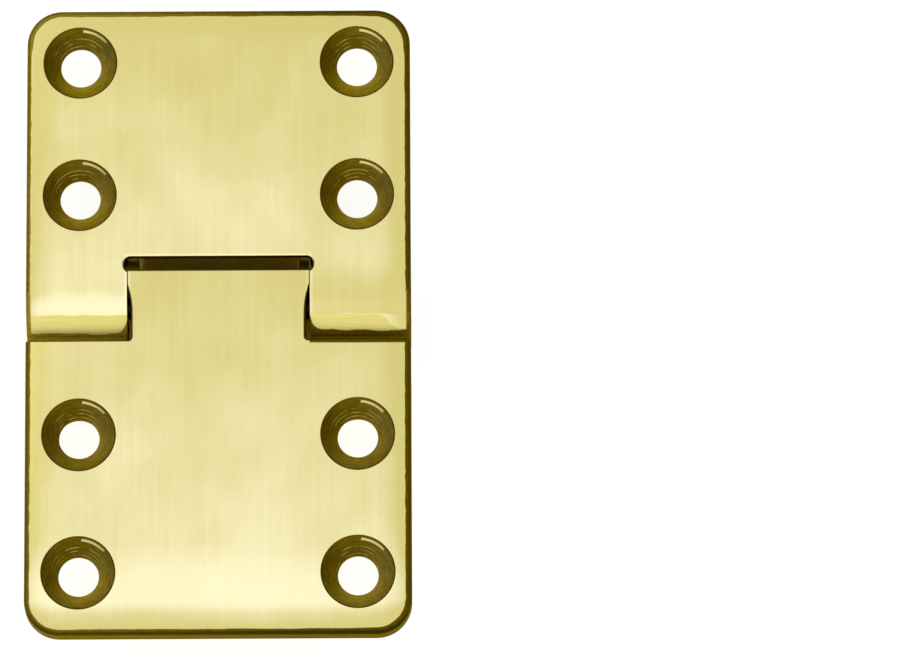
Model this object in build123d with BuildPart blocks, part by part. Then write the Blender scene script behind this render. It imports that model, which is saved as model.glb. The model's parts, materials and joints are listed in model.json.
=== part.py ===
from build123d import *
import os
from math import radians, sqrt, tan

# The hinge lies open and flat with its polished faces up. X runs across it, Y runs towards the
# fixed leaf's far end, and Z is up. The origin is under the middle of the open hinge, level with
# the ridge across its back, which is its lowest line. Every size is in millimetres.

# Both leaves
length = 63.5                # over both leaves
width = 38.1
plate_thickness = 2.4
knuckle_depth = 8.0          # polished face to the ridge on the back
corner_radius = 3.5
rim_radius = 0.5             # rounded edge round the polished faces
soft_edge_radius = 0.2       # worn edges of the slot, the tongue and the joint line

# Pin and joint line
pin_from_end = 29.55         # fixed leaf's far end to the pin's centre
pin_depth = 4.1              # polished face to the pin's centre
pin_radius = 1.2
pin_running_gap = 0.05       # round the pin, in the tongue
joint_gap = 0.15             # between faces that land on or turn past each other at the joint line

# Tongue of the swing leaf, and the notch of the fixed leaf that it turns in
tongue_width = 17.9
tongue_side_gap = 0.1        # on each side, in the notch
tongue_reach = 3.0           # pin's centre to each of the two flats that the spring rests on
tongue_edge_radius = 0.3     # rounded edge between the polished face and the end flat
seat_reach = 0.45            # pin's centre to the step at the end of the spring's seat
notch_end_gap = 0.7          # between the notch's end wall and the tongue as it turns
slot_height = 1.5            # slot across the end of the notch
slot_overrun = 0.28          # how far the slot runs past each side of the notch
slot_corner_radius = 0.6
cheek_spring_gap = 0.08      # between the spring's edge and the tongue's round cheek
waist_depth = 0.35           # how far each flank of the tongue is narrowed at its root
waist_start = 0.9            # from the pin's centre, towards the tongue's end
waist_full = -1.6            # from the pin's centre, where the narrowing is complete
shoulder_corner_radius = 0.3

# Backs of the leaves
ridge_width = 0.6            # flat top of the ridge
ridge_offset = 1.0           # pin's centre to the middle of the ridge, on the swing leaf's side
fixed_ramp_reach = 7.9       # pin's centre to the foot of the fixed leaf's ramps
swing_ramp_reach = 12.35     # pin's centre to the foot of the swing leaf's ramp
ear_round_radius = 5.2       # from the polished face down to the end of each ear
ear_back_radius = 0.6
ear_corner_radius = 0.9
lip_thickness = 1.4          # swing leaf's lip over the hollow that clears the ears
hollow_length = 3.85         # from the ears' ends to the hollow's far wall
hollow_radius = 1.0

# Countersunk holes for wood screws with a 4 mm shank
screw_hole_radius = 2.0
screw_head_radius = 3.65
screw_head_angle = 82
screw_mouth_radius = 0.15    # worn edge of each countersink
screw_spacing = 27.5         # across the hinge
fixed_row_from_end = 5.4
fixed_row_spacing = 13.6
swing_row_from_end = 6.2
swing_row_spacing = 13.9

# Leaf spring
spring_width = 15.8
spring_thickness = 0.8
spring_from_end = 3.4        # fixed leaf's far end to the spring's riveted end
spring_tip_gap = 0.25        # spring's free end to the step on the tongue
spring_corner_radius = 0.6
crank_gap = 0.5              # beyond the place where the raised tongue's corner lands
crank_run = 6.4              # length of the sloping part along the leaf
bend_radius = 0.8            # inside of each bend

# Rivets
rivet_from_end = 8.9
rivet_spacing = 8.8
rivet_shank_radius = 1.5
rivet_head_radius = 2.55
rivet_head_height = 0.95
rivet_rim_height = 0.35      # upright edge of the head below its crown
rivet_centre_radius = 0.9    # flat disc in the middle of the head
rivet_dimple_radius = 0.3
rivet_dimple_depth = 0.15
rivet_foot_radius = 2.1      # closed end, flush with the polished face
rivet_foot_angle = 74

beyond = 1.0                 # how far a cut runs past what it cuts
touching = 1e-4              # how closely an edge has to lie where it is looked for

# Levels above the pin's centre, and places from it towards the fixed leaf's far end
face = pin_depth
plate_back = pin_depth - plate_thickness
ridge = pin_depth - knuckle_depth
ridge_front = ridge_width / 2 - ridge_offset
ridge_rear = -ridge_width / 2 - ridge_offset
seat = -tongue_reach
fixed_end = pin_from_end
swing_end = pin_from_end - length
ear_end = -pin_depth
ear_round_start = ear_end + ear_round_radius
lip_end = -(pin_depth + joint_gap)
hollow_end = ear_end - hollow_length

# The tongue turns within a circle about the pin that touches its rounded front edge
edge_centre = Vector(tongue_reach - tongue_edge_radius, face - tongue_edge_radius)
turning_radius = edge_centre.length + tongue_edge_radius
cheek_top = (edge_centre.normalized() * turning_radius).Y
cheek_inside = spring_width / 2 + cheek_spring_gap

# The notch's end wall leans back from the middle of the slot, clear of that circle
notch_width = tongue_width + 2 * tongue_side_gap
slot_end = pin_depth + joint_gap
slot_middle = slot_end - slot_height / 2
notch_back = sqrt((turning_radius + notch_end_gap) ** 2 - plate_back**2)

# The swing leaf's ramp runs straight from the ridge to its plate, and the ears' backs lie in it
ramp_fall = (plate_back - ridge) / (swing_ramp_reach + ridge_rear)
ramp_at_ear_end = ridge + ramp_fall * (ridge_rear - ear_end)
ramp_at_hollow_end = ridge + ramp_fall * (ridge_rear - hollow_end)

pin_centre = Vector(0, length / 2 - pin_from_end, knuckle_depth - pin_depth)
section = Plane(origin=pin_centre, x_dir=(0, 1, 0), z_dir=(1, 0, 0))
polished_face = Plane(origin=(0, pin_centre.Y, knuckle_depth))
rivet_row = fixed_end - rivet_from_end
fixed_screws = fixed_end - fixed_row_from_end - fixed_row_spacing / 2
swing_screws = swing_end + swing_row_from_end + swing_row_spacing / 2

os.makedirs("parts", exist_ok=True)


def at_place(edges, place):
    """The edges whose middle lies at this place along the hinge, from the pin's centre."""
    return edges.filter_by(lambda edge: abs(edge.center().Y - pin_centre.Y - place) < touching)


def at_level(edges, level):
    """The edges whose middle lies at this level above the pin's centre."""
    return edges.filter_by(lambda edge: abs(edge.center().Z - pin_centre.Z - level) < touching)


def round_outline(leaf, end, joint):
    """Round a leaf's two far corners in plan, then its polished face's edges up to the joint."""
    fillet(at_place(leaf.edges().filter_by(Axis.Z), end), corner_radius)
    face_edges = at_level(leaf.edges(), face)
    fillet(face_edges - at_place(face_edges, joint), rim_radius)


def screw_holes(leaf, middle, row_spacing):
    """Cut a leaf's four countersunk holes about this place, and round their mouths."""
    with Locations(polished_face):
        with Locations((0, middle)):
            with GridLocations(screw_spacing, row_spacing, 2, 2):
                CounterSinkHole(screw_hole_radius, screw_head_radius, counter_sink_angle=screw_head_angle)
    circles = at_level(leaf.edges().filter_by(GeomType.CIRCLE), face)
    fillet(circles.filter_by(lambda edge: abs(edge.radius - screw_head_radius) < touching), screw_mouth_radius)


# Fixed leaf: plate, two ears with a quarter round over the pin, and ramps up to them on the back
with BuildPart() as fixed_leaf:
    with BuildSketch(section):
        with BuildLine():
            Polyline(
                (ear_round_start, face),
                (fixed_end, face),
                (fixed_end, plate_back),
                (fixed_ramp_reach, plate_back),
                (ridge_front, ridge),
                (ridge_rear, ridge),
                (ear_end, ramp_at_ear_end),
                (ear_end, face - ear_round_radius),
            )
            CenterArc((ear_round_start, face - ear_round_radius), ear_round_radius, 90, 90)
        outline = make_face()
        fillet(outline.vertices().sort_by_distance((ear_end, ramp_at_ear_end))[0], ear_back_radius)
    extrude(amount=width / 2, both=True)
    round_outline(fixed_leaf, fixed_end, ear_round_start)

    # The slot at the end of the notch runs past both sides of it, and its edge is softened
    with BuildSketch(polished_face):
        with Locations((0, slot_middle)):
            RectangleRounded(notch_width + 2 * slot_overrun, slot_height, slot_corner_radius)
    extrude(amount=-plate_thickness, mode=Mode.SUBTRACT)
    fillet(at_place(at_level(fixed_leaf.edges(), face), slot_end), soft_edge_radius)

    # The notch between the ears, open to the back as far as the ramps reach
    with BuildSketch(section):
        Polygon(
            (slot_middle, face + beyond),
            (slot_middle, face),
            (notch_back, plate_back),
            (fixed_ramp_reach + beyond, plate_back),
            (fixed_ramp_reach + beyond, ridge - beyond),
            (ear_end - beyond, ridge - beyond),
            (ear_end - beyond, face + beyond),
            align=None,
        )
    extrude(amount=notch_width / 2, both=True, mode=Mode.SUBTRACT)

    # The ears' inner corners are rounded in plan
    with BuildSketch(polished_face):
        for side in (-1, 1):
            corner = Vector(side * notch_width / 2, ear_end)
            with Locations(corner):
                Rectangle(2 * ear_corner_radius, 2 * ear_corner_radius)
            with Locations(corner + Vector(side * ear_corner_radius, ear_corner_radius)):
                Circle(ear_corner_radius, mode=Mode.SUBTRACT)
    extrude(amount=-knuckle_depth - beyond, mode=Mode.SUBTRACT)

    with BuildSketch(section):
        Circle(pin_radius)
    extrude(amount=width / 2 + beyond, both=True, mode=Mode.SUBTRACT)

    with Locations(polished_face):
        with Locations((0, rivet_row)):
            with GridLocations(rivet_spacing, 0, 2, 1):
                CounterSinkHole(rivet_shank_radius, rivet_foot_radius, counter_sink_angle=rivet_foot_angle)
    screw_holes(fixed_leaf, fixed_screws, fixed_row_spacing)

fixed_leaf.part.label = "fixed_leaf"
export_step(fixed_leaf.part, "parts/fixed_leaf.step")

# Swing leaf: plate, lip over the hollow for the ears, and the tongue that turns on the pin
with BuildPart() as swing_leaf:
    with BuildSketch(section):
        Polygon(
            (lip_end, face),
            (swing_end, face),
            (swing_end, plate_back),
            (-swing_ramp_reach, plate_back),
            (hollow_end, ramp_at_hollow_end),
            (hollow_end, face - lip_thickness),
            (lip_end, face - lip_thickness),
            align=None,
        )
    extrude(amount=width / 2, both=True)
    round_outline(swing_leaf, swing_end, lip_end)
    fillet(at_place(at_level(swing_leaf.edges(), face - lip_thickness), hollow_end), hollow_radius)

    # The tongue under the spring is a square cam: a seat up to the step, and an end flat
    with BuildSketch(section):
        tongue = Polygon(
            (tongue_reach, face),
            (hollow_end - beyond, face),
            (hollow_end - beyond, ramp_at_hollow_end + ramp_fall * beyond),
            (ridge_rear, ridge),
            (-seat_reach, seat),
            (tongue_reach, seat),
            align=None,
        )
        fillet(tongue.vertices().sort_by_distance((tongue_reach, face))[0], tongue_edge_radius)
    extrude(amount=tongue_width / 2, both=True)

    # Beside the spring it ends in two cheeks that are round about the pin
    for side in (-1, 1):
        with BuildSketch(section.offset(side * cheek_inside)):
            Circle(turning_radius)
            with Locations((turning_radius / 2, (cheek_top + seat) / 2)):
                Rectangle(turning_radius, cheek_top - seat, mode=Mode.INTERSECT)
        extrude(amount=side * (tongue_width / 2 - cheek_inside))

    # Its root is narrowed from the face down to the pin's centre
    with BuildSketch(polished_face):
        flank = tongue_width / 2
        with BuildLine():
            Polyline(
                (flank, waist_start),
                (flank + beyond, waist_start),
                (flank + beyond, lip_end),
                (flank - waist_depth, lip_end),
                (flank - waist_depth, waist_full),
            )
            TangentArc((flank - waist_depth, waist_full), (flank, waist_start), tangent=(0, 1))
        waist = make_face()
        fillet(waist.vertices().sort_by_distance((flank - waist_depth, lip_end))[0], shoulder_corner_radius)
        mirror(about=Plane.YZ)
    extrude(amount=-pin_depth, mode=Mode.SUBTRACT)
    fillet(at_place(at_level(swing_leaf.edges(), face), lip_end), soft_edge_radius)

    with BuildSketch(section):
        Circle(pin_radius + pin_running_gap)
    extrude(amount=tongue_width / 2 + beyond, both=True, mode=Mode.SUBTRACT)

    screw_holes(swing_leaf, swing_screws, swing_row_spacing)

swing_leaf.part.label = "swing_leaf"
export_step(swing_leaf.part, "parts/swing_leaf.step")

# Pin: tight in both ears, flush with their outer sides
with BuildPart() as hinge_pin:
    with BuildSketch(section):
        Circle(pin_radius)
    extrude(amount=width / 2, both=True)

hinge_pin.part.label = "hinge_pin"
export_step(hinge_pin.part, "parts/hinge_pin.step")

# Leaf spring: flat under the rivets, then cranked down to a foot on the tongue's seat
crank_end = pin_depth + crank_gap
crank_start = crank_end + crank_run

with BuildPart() as leaf_spring:
    with BuildSketch(section):
        with BuildLine():
            FilletPolyline(
                (fixed_end - spring_from_end, plate_back),
                (crank_start, plate_back),
                (crank_end, seat),
                (spring_tip_gap - seat_reach, seat),
                radius=[bend_radius + spring_thickness, bend_radius],
            )
            offset(amount=spring_thickness, side=Side.LEFT)
        make_face()
    extrude(amount=spring_width / 2, both=True)
    fillet(leaf_spring.edges().filter_by(Axis.Z), spring_corner_radius)

    with Locations(polished_face):
        with Locations((0, rivet_row)):
            with GridLocations(rivet_spacing, 0, 2, 1):
                Hole(rivet_shank_radius)

leaf_spring.part.label = "leaf_spring"
export_step(leaf_spring.part, "parts/leaf_spring.step")

# Rivets: a low crowned head behind the spring, and a closed end flush with the polished face
head_base = plate_back - spring_thickness
head_top = head_base - rivet_head_height
rim_top = head_base - rivet_rim_height
crown_radius = (rivet_head_radius + rivet_centre_radius) / 2
crown = rim_top - 2 / 3 * (rivet_head_height - rivet_rim_height)
foot_depth = (rivet_foot_radius - rivet_shank_radius) / tan(radians(rivet_foot_angle / 2))

for name, side in (("rivet_left", -1), ("rivet_right", 1)):
    axis_place = pin_centre + Vector(side * rivet_spacing / 2, rivet_row)
    with BuildPart() as rivet:
        with BuildSketch(Plane(origin=axis_place, x_dir=(1, 0, 0), z_dir=(0, -1, 0))):
            with BuildLine():
                Polyline(
                    (rivet_centre_radius, head_top),
                    (rivet_dimple_radius, head_top),
                    (0, head_top + rivet_dimple_depth),
                    (0, face),
                    (rivet_foot_radius, face),
                    (rivet_shank_radius, face - foot_depth),
                    (rivet_shank_radius, head_base),
                    (rivet_head_radius, head_base),
                    (rivet_head_radius, rim_top),
                )
                ThreePointArc((rivet_head_radius, rim_top), (crown_radius, crown), (rivet_centre_radius, head_top))
            make_face()
        revolve(axis=Axis(axis_place, (0, 0, 1)))

    rivet.part.label = name
    export_step(rivet.part, f"parts/{name}.step")
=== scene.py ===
# %% [markdown]
# # A butler tray hinge, dressed for its picture
#
# The hinge joins the top of a butler tray to one of its folding sides. It has two brass leaves, a
# pin, and a leaf spring on the back that presses on a square cam. The packed model already has
# every piece at its real size and place, so this script only gives the pieces their finish, and
# sets up a floor, lights and a camera. Everything is in metres: +X runs across the hinge, +Y runs
# towards the fixed leaf's far end, and +Z comes out of the polished faces.

# %% Load the packed hinge
import json
import math
import bpy
import numpy as np
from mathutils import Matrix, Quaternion, Vector

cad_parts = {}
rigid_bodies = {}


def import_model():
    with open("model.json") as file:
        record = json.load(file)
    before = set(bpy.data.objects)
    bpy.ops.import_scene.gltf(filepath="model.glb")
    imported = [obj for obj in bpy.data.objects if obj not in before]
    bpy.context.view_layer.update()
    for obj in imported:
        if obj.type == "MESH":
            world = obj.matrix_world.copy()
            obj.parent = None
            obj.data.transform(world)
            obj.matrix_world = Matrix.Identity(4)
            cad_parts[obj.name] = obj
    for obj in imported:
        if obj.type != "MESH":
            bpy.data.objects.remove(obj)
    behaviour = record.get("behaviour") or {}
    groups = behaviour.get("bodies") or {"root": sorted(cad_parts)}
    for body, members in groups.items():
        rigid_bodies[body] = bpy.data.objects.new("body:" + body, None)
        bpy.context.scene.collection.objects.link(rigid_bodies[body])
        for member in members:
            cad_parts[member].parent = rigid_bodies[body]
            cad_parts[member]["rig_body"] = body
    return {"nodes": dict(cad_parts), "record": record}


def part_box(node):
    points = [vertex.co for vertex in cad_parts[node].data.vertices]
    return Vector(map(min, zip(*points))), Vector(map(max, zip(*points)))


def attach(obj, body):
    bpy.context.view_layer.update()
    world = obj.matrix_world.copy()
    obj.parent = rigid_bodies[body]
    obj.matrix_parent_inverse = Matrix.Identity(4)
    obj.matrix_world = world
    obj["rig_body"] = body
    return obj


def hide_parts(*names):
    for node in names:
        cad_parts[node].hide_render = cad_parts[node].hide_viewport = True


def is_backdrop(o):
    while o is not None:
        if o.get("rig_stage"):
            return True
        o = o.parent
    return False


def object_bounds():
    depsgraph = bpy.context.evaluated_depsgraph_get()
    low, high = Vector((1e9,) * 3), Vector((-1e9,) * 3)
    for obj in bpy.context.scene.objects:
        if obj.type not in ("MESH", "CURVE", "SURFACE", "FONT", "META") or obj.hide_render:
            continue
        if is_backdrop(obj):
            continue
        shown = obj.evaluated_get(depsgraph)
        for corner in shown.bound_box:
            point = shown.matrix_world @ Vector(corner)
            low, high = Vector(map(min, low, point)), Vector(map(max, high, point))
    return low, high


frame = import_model()
cad_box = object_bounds()
nodes = frame["nodes"]
MM = 0.001
print("hinge measures", [round(size / MM, 2) for size in cad_box[1] - cad_box[0]], "mm")

# %% [markdown]
# ## Places that the finishes need
#
# A finish often changes at a place: the countersinks are turned, the backs are sanded, and the
# ends of the ears are ground. The record of the packed hinge gives the places of the screw holes,
# and the meshes give the level of the polished faces, so nothing is guessed twice.

# %% Read the places from the record and the meshes
mounts = {mount["name"]: mount for mount in frame["record"]["mounts"]}
face_level = cad_box[1].z / MM
for name in ("fixed_screws", "swing_screws"):
    print(name, "lie round", [round(value / MM, 2) for value in mounts[name]["pos_m"]], "mm")
print("the polished faces lie at", round(face_level, 2), "mm")

# %% [markdown]
# ## Smooth copies of the CAD pieces
#
# A CAD piece arrives as loose triangles, each shaded flat, and polished metal shows every one of
# them. One answer would be to model the leaves again by hand, but their shape is already right.
# Instead a copy is made whose corners are joined into shared points, with normals of its own. The
# large flat faces keep their own normal right up to their edges, so that they stay flat to the
# eye, and the rounded rims start from it and bend smoothly away.

# %% Join loose triangles into one closed mesh
merge_step = 1e-7
print("places are rounded to", round(merge_step / MM, 6), "mm before they are compared")


def closed_mesh(name, source):
    """A mesh with the same triangles, in which corners at one place are one vertex.

    Places are rounded to merge_step, in metres, before they are compared.
    """
    corners = np.empty(3 * len(source.vertices))
    source.vertices.foreach_get("co", corners)
    corners = corners.reshape(-1, 3)
    triangles = np.empty(len(source.loops), dtype=np.int64)
    source.loops.foreach_get("vertex_index", triangles)
    places = np.round(corners / merge_step)
    _, first, shared = np.unique(places, axis=0, return_index=True, return_inverse=True)
    faces = shared.reshape(-1)[triangles].reshape(-1, 3)
    thin = (faces == np.roll(faces, 1, axis=1)).any(axis=1)
    mesh = bpy.data.meshes.new(name)
    mesh.from_pydata(corners[first], [], faces[~thin])
    mesh.polygons.foreach_set("use_smooth", np.ones(len(mesh.polygons), dtype=bool))
    mesh.normals_split_custom_set(calm_normals(corners[first], faces[~thin]))
    return mesh


# %% A calm normal for each corner
smooth_angle = math.radians(28)
large_flat = 8e-6
large_flat_weight = 1e6
normal_steps = 1e3
offset_steps = 1e5
no_area = 1e-20
print("normals bend over edges of up to", round(math.degrees(smooth_angle)), "degrees")


def calm_normals(corners, faces):
    """A normal for each corner of each triangle.

    A triangle of a large flat keeps its own normal. Any other corner takes the mean of the normals
    round its point that lie within smooth_angle of its own. Each counts by its area, and those of
    large flats by far the most. Triangles lie in one flat if their normal and offset are the same.
    """
    a, b, c = corners[faces[:, 0]], corners[faces[:, 1]], corners[faces[:, 2]]
    crossed = np.cross(b - a, c - a)
    areas = np.linalg.norm(crossed, axis=1) / 2
    normals = crossed / (2 * areas[:, None] + no_area)
    flats = np.column_stack([normals * normal_steps, (a * normals).sum(axis=1) * offset_steps])
    _, flat_of = np.unique(np.round(flats), axis=0, return_inverse=True)
    flat_of = flat_of.reshape(-1)
    is_large = np.bincount(flat_of, weights=areas)[flat_of] > large_flat
    weights = areas * np.where(is_large, large_flat_weight, 1.0)

    point = faces.reshape(-1)
    order = np.argsort(point, kind="stable")
    count = np.bincount(point)
    start = np.cumsum(count) - count
    pairs_of = count[point]
    corner = np.repeat(np.arange(len(point)), pairs_of)
    turn = np.arange(len(corner)) - np.repeat(np.cumsum(pairs_of) - pairs_of, pairs_of)
    own, other = corner // 3, order[start[point[corner]] + turn] // 3
    near = (normals[own] * normals[other]).sum(axis=1) > math.cos(smooth_angle)
    share = normals[other] * (weights[other] * near)[:, None]
    summed = np.stack([np.bincount(corner, weights=share[:, axis]) for axis in range(3)], axis=1)
    mean = summed / np.linalg.norm(summed, axis=1, keepdims=True)
    return np.where(np.repeat(is_large, 3)[:, None], np.repeat(normals, 3, axis=0), mean)


# %% A smooth copy in a CAD node's place
def smooth_copy(name, node, material):
    """A new piece in a CAD node's place, on the same body, with the given material."""
    piece = bpy.data.objects.new(name, closed_mesh(name, nodes[node].data))
    bpy.context.scene.collection.objects.link(piece)
    piece.data.materials.append(material)
    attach(piece, nodes[node]["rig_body"])
    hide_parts(node)
    print(name, "has", len(piece.data.polygons), "triangles and stands for", node)
    return piece


# %% [markdown]
# ## Formulas as shader nodes
#
# A finish is a formula over the surface: how far a point is from a screw hole, how steep the
# surface is, how a brush streaked it. Blender keeps such a formula as shader nodes. Wiring them
# one by one takes many lines and hides the formula, so a small class does the wiring. A Field is
# one number that varies over the surface, and adding or multiplying two Fields adds the node.
#
# Many Fields are masks: 1 where a finish is and 0 elsewhere. A mask has a soft border, and the two
# numbers given to rising or falling say where that border begins and ends.

# %% A small language for shader formulas
class Field:
    """A number that varies over a surface. Its arithmetic adds Math nodes to the material."""

    def __init__(self, tree, socket):
        self.tree = tree
        self.socket = socket

    def math(self, operation, *others):
        node = self.tree.nodes.new("ShaderNodeMath")
        node.operation = operation
        for entry, value in zip(node.inputs, (self, *others)):
            connect(self.tree, value, entry)
        return Field(self.tree, node.outputs[0])

    def __add__(self, other):
        return self.math("ADD", other)

    def __sub__(self, other):
        return self.math("SUBTRACT", other)

    def __mul__(self, other):
        return self.math("MULTIPLY", other)

    def absolute(self):
        return self.math("ABSOLUTE")

    def larger(self, other):
        """The larger of this and another. Of two masks, it is 1 where either of them is."""
        return self.math("MAXIMUM", other)

    def inverse(self):
        """1 minus this."""
        return self.math("MULTIPLY_ADD", -1.0, 1.0)

    def fading(self, length):
        """1 where this is 0, and e times less for each further length: exp(-this / length)."""
        return (self * (-1 / length)).math("EXPONENT")

    def rising(self, low, high):
        """0 below low and 1 above high, with a smooth step between them."""
        node = self.tree.nodes.new("ShaderNodeMapRange")
        node.interpolation_type = "SMOOTHSTEP"
        connect(self.tree, self, node.inputs["Value"])
        node.inputs["From Min"].default_value = low
        node.inputs["From Max"].default_value = high
        return Field(self.tree, node.outputs["Result"])

    def falling(self, low, high):
        """1 below low and 0 above high, with a smooth step between them."""
        return self.rising(low, high).inverse()

    def spread(self, low, high):
        """A number from 0 to 1, stretched to run from low to high."""
        return self.math("MULTIPLY_ADD", high - low, low)


def connect(tree, value, entry):
    """Link a Field to a node's entry, or set the entry to a plain number or colour."""
    if isinstance(value, Field):
        tree.links.new(value.socket, entry)
    else:
        entry.default_value = value


def distance(across, along):
    """The root of the sum of the squares of two Fields, which are the sides of a right angle."""
    return (across * across + along * along).math("SQRT")


print("what a Field can do:", ", ".join(way for way in vars(Field) if not way.startswith("_")))

# %% Colours as a screen shows them
def tone(red, green, blue):
    """A colour as a screen shows it, each part 0 to 255, in the linear numbers shaders use.

    A dark part is divided by 12.92. Any other is moved and scaled by 0.055 and raised to 2.4.
    """
    shown = np.array([red, green, blue]) / 255
    linear = np.where(shown <= 0.04045, shown / 12.92, ((shown + 0.055) / 1.055) ** 2.4)
    return (*linear.tolist(), 1.0)


def blend_colour(factor, first, second):
    """The first colour where the factor is 0 and the second where it is 1."""
    tree = factor.tree
    node = tree.nodes.new("ShaderNodeMix")
    node.data_type = "RGBA"
    connect(tree, factor, node.inputs["Factor"])
    connect(tree, first, node.inputs["A"])
    connect(tree, second, node.inputs["B"])
    return Field(tree, node.outputs["Result"])


def shade_colour(colour, strength):
    """A colour times a number that varies over the surface."""
    tree = strength.tree
    node = tree.nodes.new("ShaderNodeVectorMath")
    node.operation = "SCALE"
    connect(tree, colour if isinstance(colour, Field) else colour[:3], node.inputs[0])
    connect(tree, strength, node.inputs["Scale"])
    return Field(tree, node.outputs[0])


brass_at_a_glance = tone(215, 200, 130)
print("half of a screen's white is", round(tone(128, 128, 128)[0], 3), "in linear light")


# %% A surface with its places, patterns and bumps
class Surface:
    """The nodes of one material: its places in millimetres, its directions, and its shader."""

    def __init__(self, name):
        self.material = bpy.data.materials.new(name)
        self.material.use_nodes = True
        self.tree = self.material.node_tree
        self.shader = self.tree.nodes["Principled BSDF"]
        self.coordinates = self.tree.nodes.new("ShaderNodeTexCoord")
        self.x, self.y, self.z = (part * (1 / MM) for part in self.parts("Object"))
        self.facing_x, self.facing_y, self.facing_z = self.parts("Normal")

    def parts(self, output):
        """The three parts of a coordinate, as Fields."""
        node = self.tree.nodes.new("ShaderNodeSeparateXYZ")
        self.tree.links.new(self.coordinates.outputs[output], node.inputs[0])
        return [Field(self.tree, socket) for socket in node.outputs]

    def nowhere(self):
        """A mask that is 0 all over."""
        return self.z * 0.0

    def noise(self, grain, detail=2.0, roughness=0.5):
        """A random pattern from 0 to 1, whose grain is in millimetres along X, Y and Z."""
        placed = self.tree.nodes.new("ShaderNodeMapping")
        placed.inputs["Scale"].default_value = [1 / (MM * size) for size in grain]
        self.tree.links.new(self.coordinates.outputs["Object"], placed.inputs["Vector"])
        node = self.tree.nodes.new("ShaderNodeTexNoise")
        node.inputs["Scale"].default_value = 1.0
        node.inputs["Detail"].default_value = detail
        node.inputs["Roughness"].default_value = roughness
        self.tree.links.new(placed.outputs[0], node.inputs["Vector"])
        return Field(self.tree, node.outputs["Fac"])

    def bump(self, height):
        """Raise the surface by a Field of millimetres."""
        node = self.tree.nodes.new("ShaderNodeBump")
        node.inputs["Distance"].default_value = MM
        connect(self.tree, height, node.inputs["Height"])
        self.tree.links.new(node.outputs["Normal"], self.shader.inputs["Normal"])

    def finish(self, colour, roughness, metallic=1.0):
        """Set what the shader shows, and return the material."""
        connect(self.tree, colour, self.shader.inputs["Base Color"])
        connect(self.tree, roughness, self.shader.inputs["Roughness"])
        connect(self.tree, metallic, self.shader.inputs["Metallic"])
        return self.material


# %% [markdown]
# ## The brass of the leaves
#
# On the real hinge the front is polished along the leaf, the backs are sanded across it, the
# countersinks are turned and the ends of the ears are ground. The edges are painted a dark olive
# that stands for the dark they mirror.
# Four materials would need the faces sorted into groups. One material is simpler: masks made from
# the place and the direction of the surface choose the finish, and follow the shape by themselves.

# %% Distance to a leaf's outline
half_length = 31.75
half_width = 19.05
corner_radius = 3.5
print("outline", 2 * half_width, "by", 2 * half_length, "mm, corners of", corner_radius, "mm")


def inset(surface, outwards):
    """Distance in millimetres inwards from a leaf's outline, whose two far corners are rounded.

    It is the corner radius, less the length of the step from the nearest point whose distance to
    both sides is at least that radius. outwards is 1 on the fixed leaf and -1 on the swing leaf:
    the way from the joint to the leaf's far end.
    """
    past_side = (surface.x.absolute() - (half_width - corner_radius)).larger(0.0)
    past_end = (surface.y * outwards - (half_length - corner_radius)).larger(0.0)
    return distance(past_side, past_end) * -1.0 + corner_radius


# %% Thin lines at the joint
slot_end = 6.45
lip_end = -2.05
ear_inner_side = 9.05
bright_line_border = (0.12, 0.36)
tongue_line_border = (8.55, 8.75)
tongue_line_start = (-2.3, -1.9)
lip_side_border = (8.98, 9.06)
lip_line_width = (0.12, 0.42)
lip_line_sides = (-15, 15)
lip_line_border = 0.06
print("the slot ends at", slot_end, "mm and the lip at", lip_end, "mm")


def joint_edge_highlights(surface, outwards):
    """1 on the painted highlight lines along the edges of the notch and the tongue."""
    if outwards > 0:
        past_side = (surface.x.absolute() - ear_inner_side).larger(0.0)
        past_end = (surface.y - slot_end).larger(0.0)
        return distance(past_side, past_end).falling(*bright_line_border)
    return surface.x.absolute().rising(*tongue_line_border) * surface.y.rising(*tongue_line_start)


def lip_edge(surface):
    """1 on the painted dark edge of the swing leaf's lip, which is wider on the right."""
    width = surface.x.rising(*lip_line_sides).spread(*lip_line_width)
    beside_tongue = surface.x.absolute().rising(*lip_side_border)
    return beside_tongue * (surface.y + width).rising(lip_end, lip_end + lip_line_border)


# %% [markdown]
# ### The faces, buffed by hand
#
# A face buffed by hand is never quite flat. The wheel rolls it off towards its edges, and where it
# leans it mirrors another part of the room. A bump of a fraction of a millimetre does that. The
# colour is uneven too, with painted highlights and painted shade: the fixed leaf paler towards the
# joint, the swing leaf in a band near its far end, and both darker towards their outline. Each
# leaf has its own formula for that, and clouds and streaks of noise break both up into a random
# tone.

# %% Painted sheen of the fixed leaf
fixed_start, fixed_gain = 0.14, 0.5 / 27
right_ear_side, right_ear_end, right_ear_shade_depth = (4, 14), (2.5, 7.0), 0.55
left_highlight_side, left_highlight_end, left_highlight_gain = (-9, -8), (1.7, 3.2), 0.35
right_highlight_side, right_highlight_end, right_highlight_gain = (8, 9), (0.5, 0.8), 0.6
left_waver, right_waver = 1.1, 0.4
print("the fixed leaf grows paler by", round(fixed_gain, 4), "for each millimetre to the joint")


def fixed_painted_sheen(surface, to_end):
    """It is painted sheen: it grows from the far end to the joint, and painted shade lowers it on
    the right ear.

    Where the ears turn down it has painted highlights, in bands whose borders waver by up to a
    millimetre.
    """
    wave = surface.noise((5, 3, 3), detail=2)
    # Painted shade on the right ear, and painted highlights where the ears turn down.
    shaded_right_ear = surface.x.rising(*right_ear_side) * surface.y.falling(*right_ear_end)
    left_highlight = (surface.y + wave.spread(-left_waver, left_waver)).falling(*left_highlight_end)
    left_highlight = surface.x.falling(*left_highlight_side) * left_highlight
    right_highlight = (surface.y + wave.spread(-right_waver, right_waver)).falling(*right_highlight_end)
    right_highlight = surface.x.rising(*right_highlight_side) * right_highlight
    sheen_and_tone = to_end * fixed_gain + fixed_start - shaded_right_ear * right_ear_shade_depth
    return sheen_and_tone + left_highlight * left_highlight_gain + right_highlight * right_highlight_gain
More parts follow.
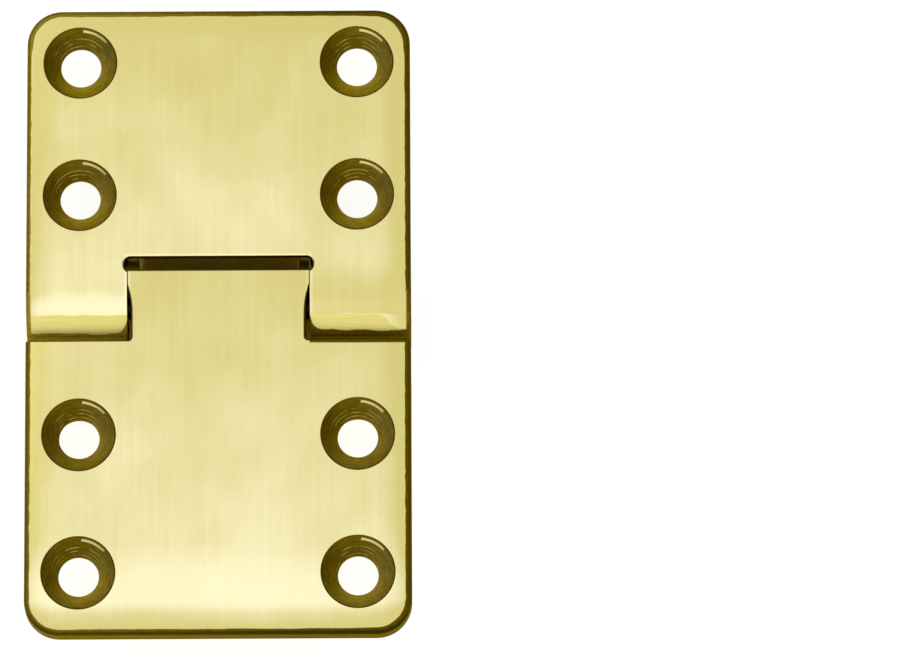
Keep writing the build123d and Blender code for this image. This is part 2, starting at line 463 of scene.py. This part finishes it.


# %% Painted sheen of the swing leaf
swing_start, swing_gain = 0.78, -0.5 / 34
band_start, band_end, band_gain = (1.8, 3.8), (4.4, 9.5), 0.4
far_end_border, far_end_shade_depth = (1.8, 3.2), 0.15
print("the swing leaf changes by", round(swing_gain, 4), "for each millimetre to the joint")


def swing_painted_sheen(to_end):
    """It grows from the joint to a painted highlight band near the far end, and painted shade
    lowers it behind that band.
    """
    # A painted highlight band near the far end, and painted shade behind it.
    band = to_end.rising(*band_start) * to_end.falling(*band_end)
    far_end_shade = to_end.falling(*far_end_border)
    return to_end * swing_gain + swing_start + band * band_gain - far_end_shade * far_end_shade_depth


# %% Colour and height of a buffed face
# Tones of the painted sheen, from its painted shade to its painted highlight.
shaded_face_tone = tone(212, 200, 124)
highlit_face_tone = tone(250, 241, 196)
sheen_range = (-0.1, 1.1)
cloud_depth = 0.34
streak_depth = 0.08
joint_highlight_gain = 0.3
border_shade_width = 1.5
border_shade_sides = (2, 19)
left_border_shade = 1.05
right_border_shade = {1: 1.55, -1: 1.4}
crown_depth = 0.0006
roll_width = 2.5
roll_slope = {1: 0.03, -1: 0.1}
face_roughness = (0.2, 0.27)
brushing_shade = (0.96, 1.035)
brushing_depth = 0.0012
print("the faces roll off over about", roll_width, "mm")


def buffed_height(to_end, to_outline, slope):
    """A height in millimetres: a crown along the leaf, and a slope that fades from its outline.

    The crown is the square of the distance from the leaf's middle, times -crown_depth.
    """
    crown = (to_end - half_length / 2).math("POWER", 2.0) * -crown_depth
    rolled = to_outline.fading(roll_width) * (-slope * roll_width)
    return crown + rolled


def buffed_face(surface, outwards):
    """Colour, brushing and height of a polished face, with painted highlights and painted shade."""
    brushing = surface.noise((0.16, 14, 3), detail=3)
    streaks = surface.noise((0.7, 12, 9), detail=2)
    clouds = surface.noise((7, 8, 9), detail=3)
    to_end = surface.y * -outwards + half_length
    to_outline = inset(surface, outwards)
    sheen_and_tone = fixed_painted_sheen(surface, to_end) if outwards > 0 else swing_painted_sheen(to_end)
    # Painted shade along the outline, deeper towards the right.
    border_shade = surface.x.rising(*border_shade_sides)
    border_shade = border_shade.spread(left_border_shade, right_border_shade[outwards])
    sheen_and_tone = sheen_and_tone - to_outline.fading(border_shade_width) * border_shade
    # Clouds and streaks of noise give a random tone.
    sheen_and_tone = sheen_and_tone + clouds.spread(-cloud_depth, cloud_depth)
    sheen_and_tone = sheen_and_tone + streaks.spread(-streak_depth, streak_depth)
    # Painted highlight lines along the edges of the notch and the tongue.
    sheen_and_tone = sheen_and_tone + joint_edge_highlights(surface, outwards) * joint_highlight_gain
    colour = blend_colour(sheen_and_tone.rising(*sheen_range), shaded_face_tone, highlit_face_tone)
    colour = shade_colour(colour, brushing.spread(*brushing_shade))
    return colour, brushing, buffed_height(to_end, to_outline, roll_slope[outwards])


# %% [markdown]
# ### The turned countersinks
#
# A countersink is cut by a turning tool, which leaves fine rings in its cone. A texture
# could be painted on, but the distance from the hole's middle already says where each ring is. The
# cone is painted a dark olive for the dark it mirrors, with painted shade that is darker at its
# upper left, painted highlights on the rings in broken arcs, a painted dark line at the mouth,
# and one painted glint at its upper right.

# %% Distance to the screw holes
for name in ("fixed_screws", "swing_screws"):
    spacing = mounts[name]["dims"]
    print(name, "are", spacing["spacing_x_mm"], "by", spacing["spacing_y_mm"], "mm apart")


def reach_from_hole(surface, mount):
    """Distance in millimetres from the nearest of a leaf's four screw holes.

    The holes are a rectangle, so folding the leaf over both middle lines lays them on one another.
    """
    centre = Vector(mount["pos_m"]) / MM
    across = (surface.x - centre.x).absolute() - mount["dims"]["spacing_x_mm"] / 2
    along = (surface.y - centre.y).absolute() - mount["dims"]["spacing_y_mm"] / 2
    return distance(across, along)


# %% Colour of the cones
# Painted shade tones of the cones, and painted highlight, glint and dark mouth tones.
cone_shade_tones = tone(112, 94, 14), tone(160, 143, 62)
arc_highlight_tone, glint_tone, mouth_shade_tone = tone(206, 190, 104), tone(244, 234, 156), tone(98, 82, 8)
cone_sides, upper_sides = (-0.9, 0.9), (-0.65, 0.1)
ring_contrast, ring_shade = (0.25, 0.75), (0.74, 1.3)
arc_rate = 21.0
arc_top = (0.35, 1.0)
arc_highlight_strength = 0.7
smudge_border = (0.42, 0.62)
arcs_end = (2.95, 3.05)
glint_across, glint_along = 0.45, 0.893
glint_sides, glint_start, glint_end = (0.69, 0.698), (3.24, 3.3), (3.42, 3.48)
mouth_start = (3.5, 3.6)
print("the arcs in the cones are", round(2 * math.pi / arc_rate, 2), "mm apart")


def countersink_colour(surface, reach):
    """Cones painted a dark olive with turned rings, painted shade darker at the upper left, painted
    highlight arcs, a painted dark line at the mouth, and one painted glint at its upper right.

    The cone's normals point across the hole, so a side is told by the way it doesn't face. The
    arcs are the tops of a sine of the reach.
    """
    rings = surface.noise((0.9, 0.9, 0.11), detail=2)
    smudges = surface.noise((1.3, 1.3, 1.3), detail=2)
    lower_right = surface.facing_y - surface.facing_x
    upper_right = surface.facing_x * -glint_across - surface.facing_y * glint_along
    upper_side = surface.facing_y.falling(*upper_sides)

    # Painted shade: lighter at the lower right, darker at the upper left.
    colour = blend_colour(lower_right.rising(*cone_sides), *cone_shade_tones)
    colour = shade_colour(colour, rings.rising(*ring_contrast).spread(*ring_shade))
    # Painted highlights on the upper arcs of the turned rings.
    arcs = (reach * arc_rate).math("SINE").rising(*arc_top) * reach.falling(*arcs_end)
    arcs = arcs * upper_side * smudges.rising(*smudge_border)
    colour = blend_colour(arcs * arc_highlight_strength, colour, arc_highlight_tone)
    # A painted glint at the mouth's upper right.
    glint = upper_right.rising(*glint_sides) * reach.rising(*glint_start) * reach.falling(*glint_end)
    colour = blend_colour(glint, colour, glint_tone)
    # A painted dark line at the mouth.
    return blend_colour(reach.rising(*mouth_start), colour, mouth_shade_tone), rings


# %% [markdown]
# ### Edges, ears and backs
#
# The rims of the leaves are painted a dark olive that stands for the dark they mirror, with
# painted shade that grows to the right. The ears were ground where they turn down, in a band that
# ends early at their inner corners, and above it they keep the face's colour with its painted
# highlight. Each of these is a mask. The masks use noise where a border was made by hand, because
# a border that is perfectly straight looks drawn.

# %% Masks of the outline and of the ears
outline_border = (0.4, 0.47)
outline_waver = 0.09
outline_right_side, outline_right_gain = (12, 18), 0.12
outline_far_end, outline_far_gain = (26, 30), 0.22
swing_outline_gain = 0.08
edge_slope = (0.982, 0.997)
corner_reach, corner_gain = 0.35, 0.2
ear_sides, right_ear_gain = (-9, 9), 0.04
turn_slope, turn_start, turn_waver = (0.59, 0.61), (4, 5), 0.04
bright_edge_end = (18.5, 18.65)
ground_slope, ground_waver = (0.85, 0.865), 0.03
outer_side, outer_side_gain = (15.8, 18.2), 0.2
ear_start = (4.0, 4.5)
filed_level = 7.42
filed_slope, filed_lean = (0.3, 0.55), 0.6
print("the ears are filed below", filed_level, "mm")


def painted_dark_outline(surface, outwards, wear):
    """1 on the painted dark line round a leaf, whose width wavers and grows towards the right."""
    width = surface.x.rising(*outline_right_side) * outline_right_gain
    width = width + wear.spread(-outline_waver, outline_waver)
    if outwards > 0:
        width = width + surface.y.rising(*outline_far_end) * outline_far_gain
        return (inset(surface, outwards) - width).falling(*outline_border)
    width = width + swing_outline_gain
    return (inset(surface, outwards) - width).falling(*outline_border).larger(lip_edge(surface))


def ear_masks(surface, faces_joint, wear):
    """Masks of the ears, of their ground band and of the bright edge, and the band's height.

    The band begins at the slope where its surface turns past ground_slope. The height falls by
    filed_lean for each millimetre below filed_level, which leans the surface back.
    """
    up = surface.facing_z
    to_corner = (surface.x.absolute() - ear_inner_side).larger(0.0)
    corner = to_corner.fading(corner_reach) * corner_gain
    corner = corner + surface.x.rising(*ear_sides) * right_ear_gain
    turned = up + wear.spread(-turn_waver, turn_waver)
    turned = turned - corner * surface.y.falling(*turn_start)
    bright_edge = faces_joint * turned.rising(*turn_slope)
    bright_edge = bright_edge * surface.x.absolute().falling(*bright_edge_end)
    ear = faces_joint * surface.y.falling(*ear_start)
    slope = up + wear.spread(-ground_waver, ground_waver)
    slope = slope + surface.x.rising(*outer_side) * outer_side_gain
    ground = ear * slope.falling(*ground_slope)
    below = (surface.z * -1.0 + filed_level).larger(0.0)
    filed = below * ear * up.rising(*filed_slope) * filed_lean
    return ear, ground, bright_edge, filed


# %% Colours of the edges, the joint and the backs
# Painted tones: dark olive edges, lighter at the left, and shade in the joint and the hollow.
left_edge_shade_tones = {1: tone(130, 113, 32), -1: tone(114, 98, 24)}
right_edge_shade_tone = tone(90, 74, 6)
edge_sides = (-16, 16)
mottle_contrast, mottle_shade = (0.3, 0.7), (0.84, 1.12)
near_side, near_upper_side, near_rim_start = (0.1, 0.6), (0.05, 0.3), (-9, -8)
near_rim_shade = 0.41
ear_edge_gain = 1.6
joint_levels = (5.5, 7.5)
joint_shade_tones = tone(100, 80, 6), tone(130, 108, 14)
back_tones = {1: tone(209, 198, 127), -1: tone(218, 208, 136)}
hollow_side, hollow_start = (9.0, 9.1), (-5.1, -5.0)
hollow_shade_tone = tone(44, 36, 14)
sanding_shade = (0.66, 1.28)
print("the joint is darkest below", joint_levels[0], "mm")


def edge_colour(surface, outwards, ear):
    """A painted dark olive for the dark the rims mirror, mottled, with painted shade that is darker
    to the right and on the rim nearest the viewer.
    """
    grain = surface.noise((0.4, 0.4, 0.4), detail=3)
    mottle = grain.rising(*mottle_contrast).spread(*mottle_shade)
    # Painted shade: the edges grow darker towards the right.
    towards_right = surface.x.rising(*edge_sides)
    colour = blend_colour(towards_right, left_edge_shade_tones[outwards], right_edge_shade_tone)
    # Painted shade on the rim nearest the viewer.
    leans_near = (surface.facing_y * -1.0).rising(*near_side)
    leans_near = leans_near * surface.facing_z.rising(*near_upper_side)
    near_rim = leans_near * surface.y.falling(*near_rim_start)
    shade = near_rim.spread(1.0, near_rim_shade)
    return shade_colour(colour, mottle * shade * ear.spread(1.0, ear_edge_gain))


def joint_shade_colour(surface):
    """Painted shade in the depth of the joint: brown, and darker lower down."""
    return blend_colour(surface.z.rising(*joint_levels), *joint_shade_tones)


def back_colour(surface, outwards, sanding):
    """Brass sanded across the leaf, with black painted shade in the hollow under the swing leaf's
    lip.
    """
    colour = shade_colour(back_tones[outwards], sanding.spread(*sanding_shade))
    if outwards > 0:
        return colour
    # Painted shade: the hollow under the lip is black.
    hollow = surface.x.absolute().rising(*hollow_side) * surface.y.rising(*hollow_start)
    return blend_colour(hollow, colour, hollow_shade_tone)


# %% Brass with a polished face, sanded backs and painted dark edges
back_slope = (-0.4, -0.2)
cone_rim, cone_slope = (3.72, 3.78), (0.95, 0.985)
joint_slope = (0.03, 0.12)
deep_level, upright_slope = (6.9, 7.3), (-0.1, 0.1)
ground_tone = tone(232, 220, 132)
grinding_shade = (0.8, 1.15)
edge_roughness, ground_roughness, back_roughness = 0.2, 0.25, (0.12, 0.24)
grinding_depth = 0.008
ring_depth = 0.012
sanding_depth = 0.0075


def leaf_brass(name, mount, outwards):
    """Brass whose finish depends on where the surface is and which way it faces."""
    surface = Surface(name)
    reach = reach_from_hole(surface, mount)
    up = surface.facing_z
    wear = surface.noise((2.2, 0.9, 0.9), detail=3)
    sanding = surface.noise((26, 0.16, 3), detail=4, roughness=0.62)
    grinding = surface.noise((5, 0.08, 0.08), detail=3)

    back = up.falling(*back_slope)
    in_hole = reach.falling(*cone_rim) * up.falling(*cone_slope) * back.inverse()
    faces_joint = (surface.facing_y * -outwards).rising(*joint_slope) * in_hole.inverse()
    if outwards > 0:
        ear, ground, bright_edge, filed = ear_masks(surface, faces_joint, wear)
    else:
        ear = ground = bright_edge = filed = surface.nowhere()
    # Painted dark olive on the edges and rims, for the dark they mirror.
    edge = up.falling(*edge_slope).larger(painted_dark_outline(surface, outwards, wear))
    edge = edge * bright_edge.inverse()
    # Painted shade on the upright walls deep in the joint.
    sunken = surface.z.falling(*deep_level) * up.rising(*upright_slope) * ground.inverse()
    sunken = sunken * bright_edge.inverse() * in_hole.inverse()

    colour, brushing, buffed = buffed_face(surface, outwards)
    ground_colour = shade_colour(ground_tone, grinding.spread(*grinding_shade))
    cone_colour, rings = countersink_colour(surface, reach)
    colour = blend_colour(ground, colour, ground_colour)
    colour = blend_colour(edge, colour, edge_colour(surface, outwards, ear))
    colour = blend_colour(sunken, colour, joint_shade_colour(surface))
    colour = blend_colour(in_hole, colour, cone_colour)
    colour = blend_colour(back, colour, back_colour(surface, outwards, sanding))
    roughness = brushing.spread(*face_roughness) + edge * edge_roughness
    roughness = roughness + ground * ground_roughness + back * sanding.spread(*back_roughness)

    marks = brushing * edge.inverse() * brushing_depth + grinding * ground * grinding_depth
    marks = marks + rings * in_hole * ring_depth
    front = (buffed + filed + marks) * back.inverse()
    surface.bump(front + sanding * back * sanding_depth)
    surface.shader.inputs["Specular Tint"].default_value = brass_at_a_glance
    return surface.finish(colour, roughness)


fixed_brass = leaf_brass("brass of the fixed leaf", mounts["fixed_screws"], outwards=1)
swing_brass = leaf_brass("brass of the swing leaf", mounts["swing_screws"], outwards=-1)
smooth_copy("fixed_leaf_polished", "fixed_leaf", fixed_brass)
smooth_copy("swing_leaf_polished", "swing_leaf", swing_brass)

# %% [markdown]
# ## The leaf spring
#
# The spring is a strip of blackened steel, mottled where the blacking took unevenly. Black paint
# would be one flat tone. Three noises, of patches, specks and scratches, give it its clouds. Its
# upper side, which shows between the leaves, is painted a bright gold, a painted reflection of the
# brass round it.

# %% Blackened steel of the spring
outer_tones = tone(56, 55, 49), tone(77, 76, 69)
# Tones of the painted reflection on the spring's upper side.
upper_side_reflection_tones = tone(244, 210, 70), tone(255, 228, 96)
patch_contrast, speck_contrast = (0.3, 0.7), (0.3, 0.75)
scratch_shade, speck_shade = (0.85, 1.12), (0.78, 1.3)
upper_side_slope = (0.0, 0.3)
patch_depth, scratch_share = 0.006, 0.4
spring_roughness, spring_metallic = (0.34, 0.5), 0.85


def blackened_steel():
    """Near-black steel with cloudy patches, specks and fine scratches along the strip, and a
    painted gold reflection on its upper side.
    """
    surface = Surface("blackened spring steel")
    patches = surface.noise((1.6, 1.6, 1.6), detail=5, roughness=0.65)
    specks = surface.noise((0.3, 0.3, 0.3), detail=3)
    scratches = surface.noise((0.12, 6, 2), detail=2)
    outer = blend_colour(patches.rising(*patch_contrast), *outer_tones)
    mottle = specks.rising(*speck_contrast).spread(*speck_shade)
    outer = shade_colour(outer, scratches.spread(*scratch_shade) * mottle)
    # A painted reflection of the brass round it, in gold, on the upper side.
    painted_reflection = blend_colour(patches, *upper_side_reflection_tones)
    colour = blend_colour(surface.facing_z.rising(*upper_side_slope), outer, painted_reflection)
    surface.bump((patches + scratches * scratch_share) * patch_depth)
    return surface.finish(colour, patches.spread(*spring_roughness), spring_metallic)


smooth_copy("spring_strip", "leaf_spring", blackened_steel())

# %% [markdown]
# ## The rivets
#
# The rivets that hold the spring are dull brass, hammered over, with a bright flat in the middle
# of each head. Their other ends were closed and buffed together with the fixed leaf. There they
# take the leaf's own formula, which depends only on the place, so they vanish in its face.

# %% Brass of the rivets
middle_border = (0.75, 0.95)
rim_border = (1.5, 2.3)
head_tones = tone(138, 126, 62), tone(170, 158, 90)
rim_tone, middle_tone = tone(222, 212, 146), tone(226, 216, 150)
blow_contrast, blow_border = (0.3, 0.7), (0.35, 0.6)
closed_end_slope = (0.5, 0.9)
hammered_roughness, rubbed_roughness = 0.34, 0.22
blow_depth = 0.02


def rivet_brass(name, node):
    """Brass with a hammered rim, a rubbed middle, and a buffed closed end."""
    surface = Surface(name)
    low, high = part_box(node)
    centre = (low + high) / 2 / MM
    reach = distance(surface.x - centre.x, surface.y - centre.y)
    blows = surface.noise((0.5, 0.5, 0.5), detail=4)
    rubbed = reach.falling(*middle_border)
    hammered = reach.rising(*rim_border) * blows.rising(*blow_border)
    colour = blend_colour(blows.rising(*blow_contrast), *head_tones)
    colour = blend_colour(hammered, colour, rim_tone)
    colour = blend_colour(rubbed, colour, middle_tone)

    closed_end = surface.facing_z.rising(*closed_end_slope)
    head_end = closed_end.inverse()
    face_colour, brushing, buffed = buffed_face(surface, outwards=1)
    colour = blend_colour(closed_end, colour, face_colour)
    buffed = (buffed + brushing * brushing_depth) * closed_end
    surface.bump(blows * head_end * blow_depth + buffed)
    surface.shader.inputs["Specular Tint"].default_value = brass_at_a_glance
    head_roughness = rubbed.spread(hammered_roughness, rubbed_roughness) * head_end
    return surface.finish(colour, head_roughness + brushing.spread(*face_roughness) * closed_end)


for side in ("left", "right"):
    rivet = rivet_brass(f"brass of the {side} rivet", f"rivet_{side}")
    smooth_copy(f"rivet_{side}_hammered", f"rivet_{side}", rivet)

# %% [markdown]
# ## The pin
#
# Only the round ends of the steel pin show, in the outer sides of the ears. They were filed flush
# there, so they get fine scratches in one direction.

# %% Steel of the pin
pin_end_border = (18.4, 18.6)
steel_tones = tone(118, 116, 108), tone(160, 158, 150)
# Painted shade tone of the pin between the ears.
gap_shade_tone = tone(58, 46, 12)
filing_depth = 0.003
steel_roughness = (0.28, 0.42)


def drawn_steel():
    """Bright steel wire, filed flush with the ears, with painted shade that darkens it between
    them.
    """
    surface = Surface("filed end of the pin")
    filing = surface.noise((2, 0.08, 3), detail=3)
    colour = blend_colour(filing, *steel_tones)
    # Painted shade darkens the pin between the ears.
    between_ends = surface.x.absolute().falling(*pin_end_border)
    colour = blend_colour(between_ends, colour, gap_shade_tone)
    surface.bump(filing * filing_depth)
    return surface.finish(colour, filing.spread(*steel_roughness))


smooth_copy("pin_wire", "hinge_pin", drawn_steel())

# %% [markdown]
# ## The floor
#
# The hinge lies on white paper. A white floor lit by lamps would need so much light that the brass
# would wash out, so the paper glows a little where it is seen, straight or in the metal, and stays
# grey for the light that bounces off it. That keeps a soft shadow. Straight down through the gaps
# of the joint the glow is brown, a painted shade for the dark hollow that one looks into there.
# From below, where the back of the hinge is looked at, the floor would be in the way, so it is
# clear.

# %% A white floor that keeps a soft shadow
floor_tone = 0.3
floor_glow = 0.84
clear_white = (1.0, 1.0, 1.0, 1.0)
# Painted brown shade for the floor under the joint.
joint_shade_glow = tone(66, 52, 4)
joint_sides, joint_near_end, joint_far_end = (17.5, 18.6), (-6.5, -5.5), (9.5, 10.5)
print("the floor glows at", floor_glow, "where it is seen")


def light_paths(tree):
    """Two Fields: 1 for what the camera sees straight or through glass, and 1 for mirrored."""
    paths = tree.nodes.new("ShaderNodeLightPath")
    names = ("Is Camera Ray", "Is Transmission Ray", "Is Glossy Ray")
    camera_ray, through, mirrored = (Field(tree, paths.outputs[name]) for name in names)
    return camera_ray.larger(through), mirrored


def flat_sheet(name, half_side, level):
    """A square on the level, facing up."""
    mesh = bpy.data.meshes.new(name)
    corners = np.array([(-1, -1, 0), (1, -1, 0), (1, 1, 0), (-1, 1, 0)]) * half_side
    mesh.from_pydata(corners + (0, 0, level), [], [(0, 1, 2, 3)])
    sheet = bpy.data.objects.new(name, mesh)
    bpy.context.scene.collection.objects.link(sheet)
    sheet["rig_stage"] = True
    return sheet


def white_floor():
    """A matte floor that glows a little where it is seen, with painted brown shade below the joint.
    """
    surface = Surface("white floor")
    across = surface.x.absolute().falling(*joint_sides)
    along = surface.y.rising(*joint_near_end) * surface.y.falling(*joint_far_end)
    direct, mirrored = light_paths(surface.tree)
    # Painted brown shade on the floor straight down through the joint.
    glow_colour = blend_colour(direct * across * along, clear_white, joint_shade_glow)
    glow = direct.larger(mirrored) * floor_glow
    surface.shader.inputs["Specular IOR Level"].default_value = 0.0
    connect(surface.tree, glow_colour, surface.shader.inputs["Emission Color"])
    connect(surface.tree, glow, surface.shader.inputs["Emission Strength"])
    return surface.finish((floor_tone, floor_tone, floor_tone, 1.0), 1.0, metallic=0.0)


floor = flat_sheet("floor", half_side=3.0, level=0.0)
floor.data.materials.append(white_floor())

# %% From below, the floor is clear
floor_tree = floor.data.materials[0].node_tree
floor_shader = floor_tree.nodes["Principled BSDF"]
see_through = floor_tree.nodes.new("ShaderNodeBsdfTransparent")
which_side = floor_tree.nodes.new("ShaderNodeNewGeometry")
one_sided = floor_tree.nodes.new("ShaderNodeMixShader")
floor_output = floor_tree.nodes["Material Output"]
floor_tree.links.new(which_side.outputs["Backfacing"], one_sided.inputs["Fac"])
floor_tree.links.new(floor_shader.outputs["BSDF"], one_sided.inputs[1])
floor_tree.links.new(see_through.outputs["BSDF"], one_sided.inputs[2])
floor_tree.links.new(one_sided.outputs["Shader"], floor_output.inputs["Surface"])
print("the floor is see-through from below")

# %% [markdown]
# ## What the metal mirrors
#
# Polished metal has no colour of its own until it mirrors something, so the room matters as much
# as the finish. A low ring of dark card stands round the hinge, seen only in reflections: it gives
# the rounded rims and the countersinks their dark line, as black cards do in a photographer's
# studio. It is left pale towards the viewer, where the ears turn down. The room itself is white
# and brightest overhead, with one large soft lamp at the upper left.

# %% A ring of dark card that only reflections see
card_radius = 0.30
card_top = 0.09
card_sides = 48
card_tone = 0.02
card_glow = (0.1, 0.95)
pale_wall_border = (-290, -120)
print("the card stands", round(card_top / MM), "mm high,", round(card_radius / MM), "mm away")


def card_ring():
    """An upright wall round the hinge: radius times (cos a, sin a) at two levels."""
    angles = np.linspace(0, 2 * np.pi, card_sides, endpoint=False)
    circle = np.stack([np.cos(angles), np.sin(angles), np.zeros(card_sides)], axis=1) * card_radius
    corners = np.concatenate([circle, circle + (0, 0, card_top)])
    here = np.arange(card_sides)
    following = np.roll(here, -1)
    walls = np.stack([here, following, following + card_sides, here + card_sides], axis=1)
    mesh = bpy.data.meshes.new("dark card")
    mesh.from_pydata(corners, [], walls)
    ring = bpy.data.objects.new("dark card", mesh)
    bpy.context.scene.collection.objects.link(ring)
    ring.visible_camera = False
    ring.visible_diffuse = False
    ring.visible_shadow = False
    ring.visible_transmission = False
    ring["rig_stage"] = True
    return ring


def card_paper():
    """Dark paper that glows faintly, and brightly on the viewer's side, like a pale wall."""
    surface = Surface("dark card")
    glow = surface.y.falling(*pale_wall_border).spread(*card_glow)
    surface.shader.inputs["Emission Color"].default_value = clear_white
    connect(surface.tree, glow, surface.shader.inputs["Emission Strength"])
    return surface.finish((card_tone, card_tone, card_tone, 1.0), 1.0, metallic=0.0)


card = card_ring()
card.data.materials.append(card_paper())

# %% A white room
brightest_way = Vector((0.0, -0.03, 1.0)).normalized()
ceiling_angle = math.radians(40)
walls_in_mirrors = 0.8
ceiling_in_mirrors = 1.1
viewer_side_in_mirrors = 0.35
viewer_side_border = (-0.7, -0.2)
soft_light = 0.75
print("the ceiling is bright within", round(math.degrees(ceiling_angle)), "degrees of overhead")


def white_room():
    """A world that is white to the eye, softer on the hinge, and in mirrors brightest overhead."""
    room = bpy.data.worlds.new("white room")
    room.use_nodes = True
    tree = room.node_tree
    light = tree.nodes["Background"]
    light.inputs["Color"].default_value = clear_white
    way = tree.nodes.new("ShaderNodeTexCoord").outputs["Generated"]
    overhead = tree.nodes.new("ShaderNodeVectorMath")
    overhead.operation = "DOT_PRODUCT"
    tree.links.new(way, overhead.inputs[0])
    overhead.inputs[1].default_value = brightest_way
    upwards = Field(tree, overhead.outputs["Value"]).absolute()
    ceiling = upwards.rising(math.cos(ceiling_angle), 1.0)
    sides = tree.nodes.new("ShaderNodeSeparateXYZ")
    tree.links.new(way, sides.inputs[0])
    viewer_side = Field(tree, sides.outputs["Y"]).falling(*viewer_side_border)
    direct, mirrored = light_paths(tree)
    in_mirrors = ceiling.spread(walls_in_mirrors, ceiling_in_mirrors)
    in_mirrors = (in_mirrors + viewer_side * viewer_side_in_mirrors) * mirrored
    scattered = direct.larger(mirrored).inverse() * soft_light
    connect(tree, direct + in_mirrors + scattered, light.inputs["Strength"])
    return room


bpy.context.scene.world = white_room()

# %% One soft lamp
def soft_lamp(name, place, width, watts):
    """A square lamp that faces the hinge."""
    lamp_data = bpy.data.lights.new(name, "AREA")
    lamp_data.size = width
    lamp_data.energy = watts
    lamp = bpy.data.objects.new(name, lamp_data)
    lamp.location = place
    lamp.rotation_euler = (-Vector(place)).to_track_quat("-Z", "Y").to_euler()
    bpy.context.scene.collection.objects.link(lamp)
    return lamp


left_lamp = soft_lamp("left lamp", (-0.42, 0.36, 0.7), width=0.5, watts=0.9)
print(left_lamp.name, "gives", left_lamp.data.energy, "W")

# %% [markdown]
# ## The camera
#
# The photograph looks down on the hinge from the swing leaf's side, about 14 degrees off upright.
# The lens is long, so the far end looks hardly smaller than the near one. Its focal length follows
# from how many pixels a millimetre of the polished faces takes up, and the camera is moved aside
# until the hinge's middle lies in its column and row of the picture.

# %% The camera, steep above the swing leaf's side
camera_distance = 0.85
camera_elevation = math.radians(76.2)
camera_roll = math.radians(-0.3)
pixels_per_mm = 10.12
picture_width, picture_height = 900, 664
hinge_column, hinge_row = 218.3, 318

camera_data = bpy.data.cameras.new("camera")
pixels_per_metre = pixels_per_mm / MM
camera_data.lens = pixels_per_metre * camera_distance * camera_data.sensor_width / picture_width
camera = bpy.data.objects.new("camera", camera_data)
bpy.context.scene.collection.objects.link(camera)
bpy.context.scene.camera = camera

towards_camera = Vector((0, -math.cos(camera_elevation), math.sin(camera_elevation)))
camera_right = Vector((1, 0, 0))
camera_up = towards_camera.cross(camera_right)
aim = Vector((0, 0, face_level * MM))
aside = (picture_width / 2 - hinge_column) / pixels_per_mm * MM
below = (picture_height / 2 - hinge_row) / pixels_per_mm * MM
camera.location = aim + towards_camera * camera_distance + camera_right * aside - camera_up * below
level_look = (-towards_camera).to_track_quat("-Z", "Y")
camera.rotation_euler = (level_look @ Quaternion((0, 0, 1), camera_roll)).to_euler()
print("lens", round(camera_data.lens), "mm at", camera_distance, "m")

# %% Plain colour management, and the sizes before and after
bpy.context.scene.view_settings.view_transform = "Standard"
dressed_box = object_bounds()
dressed_size = dressed_box[1] - dressed_box[0]
print("dressed hinge measures", [round(size / MM, 2) for size in dressed_size], "mm")
